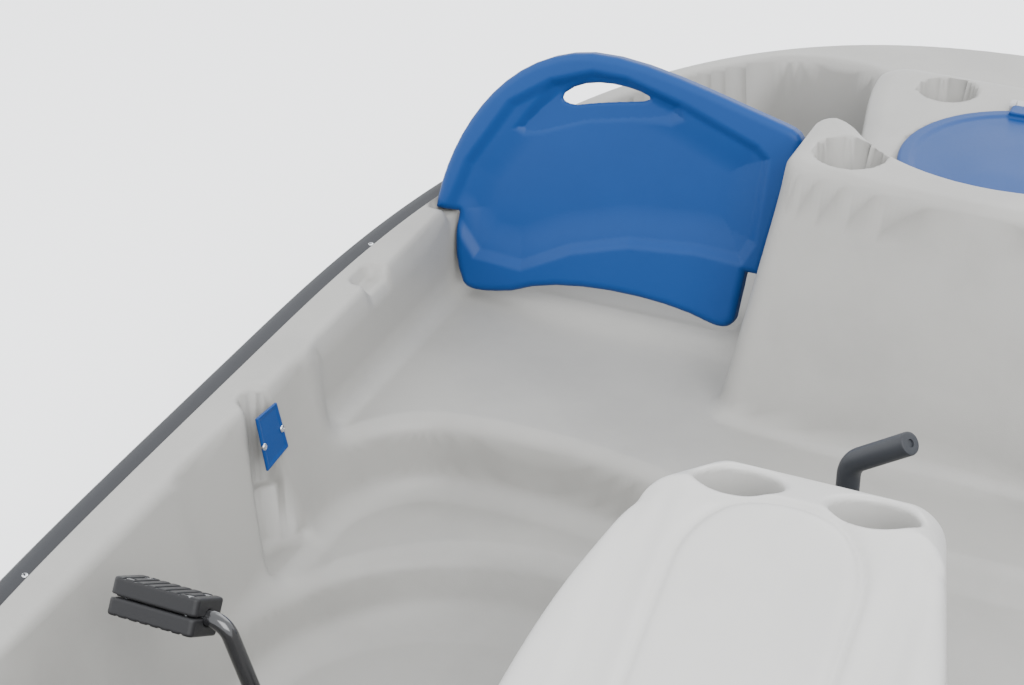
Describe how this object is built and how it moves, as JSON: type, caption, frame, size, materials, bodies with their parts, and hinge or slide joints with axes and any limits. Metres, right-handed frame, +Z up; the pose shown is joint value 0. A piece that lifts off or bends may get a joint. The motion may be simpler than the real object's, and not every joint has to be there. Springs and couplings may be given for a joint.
{
  "type": "pedal boat",
  "caption": "Moulded pedal boat with paddle wheel drive, bent-rod cranks, lift-out seat backs, hinged cooler lid, tiller steering and rod holders.",
  "frame": {"origin": "on the ground, below the centre of the boat", "axes": "+Z up, -Y towards the bow, -X to starboard"},
  "size_m": [1.65, 2.35, 0.6338],
  "materials": {
    "hull_shell": "fine-grained moulded polyethylene",
    "deck_shell": "fine-grained moulded polyethylene",
    "cover_shell": "fine-grained moulded polyethylene",
    "rail_rubber": "satin extruded rubber",
    "stainless": "satin stainless steel",
    "foam": "expanded bead foam",
    "black_plastic": "moulded nylon",
    "blue_plastic": "fine-grained moulded polyethylene",
    "grey_plastic": "moulded plastic",
    "crank_steel": "gloss black powder coat",
    "wheel_plastic": "moulded polyethylene",
    "pedal_rubber": "moulded pedal plastic with a treaded face",
    "grip_plastic": "dark grey coated bar"
  },
  "bodies": {
    "boat": {"hull_bottom": "hull_shell", "deck": "deck_shell", "rub_rail": "rail_rubber", "rail_screws": "stainless", "foam_blocks": "foam", "drain_plug": "black_plastic", "wheel_cover": "cover_shell", "cover_screws": "stainless", "lid_hinges": "grey_plastic", "lid_hinge_pins": "stainless", "rod_plates": "blue_plastic", "rod_plate_screws": "stainless", "bearing_blocks": "black_plastic", "bearing_caps": "black_plastic", "bearing_screws": "stainless", "tiller_bush": "grey_plastic", "rudder_bush": "grey_plastic"},
    "seat_back_starboard": {"seat_back_starboard": "blue_plastic"},
    "seat_back_port": {"seat_back_port": "blue_plastic"},
    "cooler_lid": {"cooler_lid": "blue_plastic"},
    "crank": {"crankshaft": "crank_steel", "wheel_hubs": "wheel_plastic", "wheel_paddles": "wheel_plastic", "wheel_pins": "stainless"},
    "pedal_outer_starboard": {"pedal_so_upper": "pedal_rubber", "pedal_so_lower": "pedal_rubber", "pedal_so_screws": "stainless"},
    "pedal_inner_starboard": {"pedal_si_upper": "pedal_rubber", "pedal_si_lower": "pedal_rubber", "pedal_si_screws": "stainless"},
    "pedal_inner_port": {"pedal_pi_upper": "pedal_rubber", "pedal_pi_lower": "pedal_rubber", "pedal_pi_screws": "stainless"},
    "pedal_outer_port": {"pedal_po_upper": "pedal_rubber", "pedal_po_lower": "pedal_rubber", "pedal_po_screws": "stainless"},
    "tiller": {"tiller_post": "grip_plastic", "tiller_cap": "grip_plastic", "steering_arm": "stainless", "link_pin_fore": "stainless"},
    "tie_rod": {"tie_rod": "stainless"},
    "rudder": {"rudder_stock": "stainless", "rudder_blade": "black_plastic", "rudder_arm": "stainless", "rudder_collar": "stainless", "link_pin_aft": "stainless"}
  },
  "joints": [
    {"name": "crank_spin", "type": "hinge", "parent": "boat", "child": "crank", "pos_m": [0, -0.56, 0.288], "axis": [1, 0, 0], "continuous": true},
    {"name": "pedal_outer_starboard_spin", "type": "hinge", "parent": "crank", "child": "pedal_outer_starboard", "pos_m": [-0.627, -0.56, 0.406], "axis": [1, 0, 0], "continuous": true},
    {"name": "pedal_inner_starboard_spin", "type": "hinge", "parent": "crank", "child": "pedal_inner_starboard", "pos_m": [-0.4, -0.56, 0.17], "axis": [1, 0, 0], "continuous": true},
    {"name": "pedal_inner_port_spin", "type": "hinge", "parent": "crank", "child": "pedal_inner_port", "pos_m": [0.4, -0.56, 0.406], "axis": [1, 0, 0], "continuous": true},
    {"name": "pedal_outer_port_spin", "type": "hinge", "parent": "crank", "child": "pedal_outer_port", "pos_m": [0.627, -0.56, 0.17], "axis": [1, 0, 0], "continuous": true},
    {"name": "tiller_turn", "type": "hinge", "parent": "boat", "child": "tiller", "pos_m": [0, -0.182, 0.245], "axis": [0, 0, 1], "range_deg": [-38, 38]},
    {"name": "tie_rod_turn", "type": "hinge", "parent": "tiller", "child": "tie_rod", "pos_m": [0.06, -0.182, 0.2], "axis": [0, 0, 1], "range_deg": [-38, 38]},
    {"name": "rudder_turn", "type": "hinge", "parent": "boat", "child": "rudder", "pos_m": [0, 1.01, 0.16], "axis": [0, 0, 1], "range_deg": [-38, 38]},
    {"name": "seat_back_starboard_lift", "type": "slide", "parent": "boat", "child": "seat_back_starboard", "axis": [0, 0.2588, 0.9659], "range_m": [0, 0.3]},
    {"name": "seat_back_port_lift", "type": "slide", "parent": "boat", "child": "seat_back_port", "axis": [0, 0.2588, 0.9659], "range_m": [0, 0.3]},
    {"name": "cooler_lid_swing", "type": "hinge", "parent": "boat", "child": "cooler_lid", "pos_m": [0, 0.792, 0.512], "axis": [-1, 0, 0], "range_deg": [0, 100]}
  ],
  "couplings": [
    {"joint": "rudder_turn", "follows": "tiller_turn", "ratio": 1},
    {"joint": "tie_rod_turn", "follows": "tiller_turn", "ratio": -1}
  ]
}
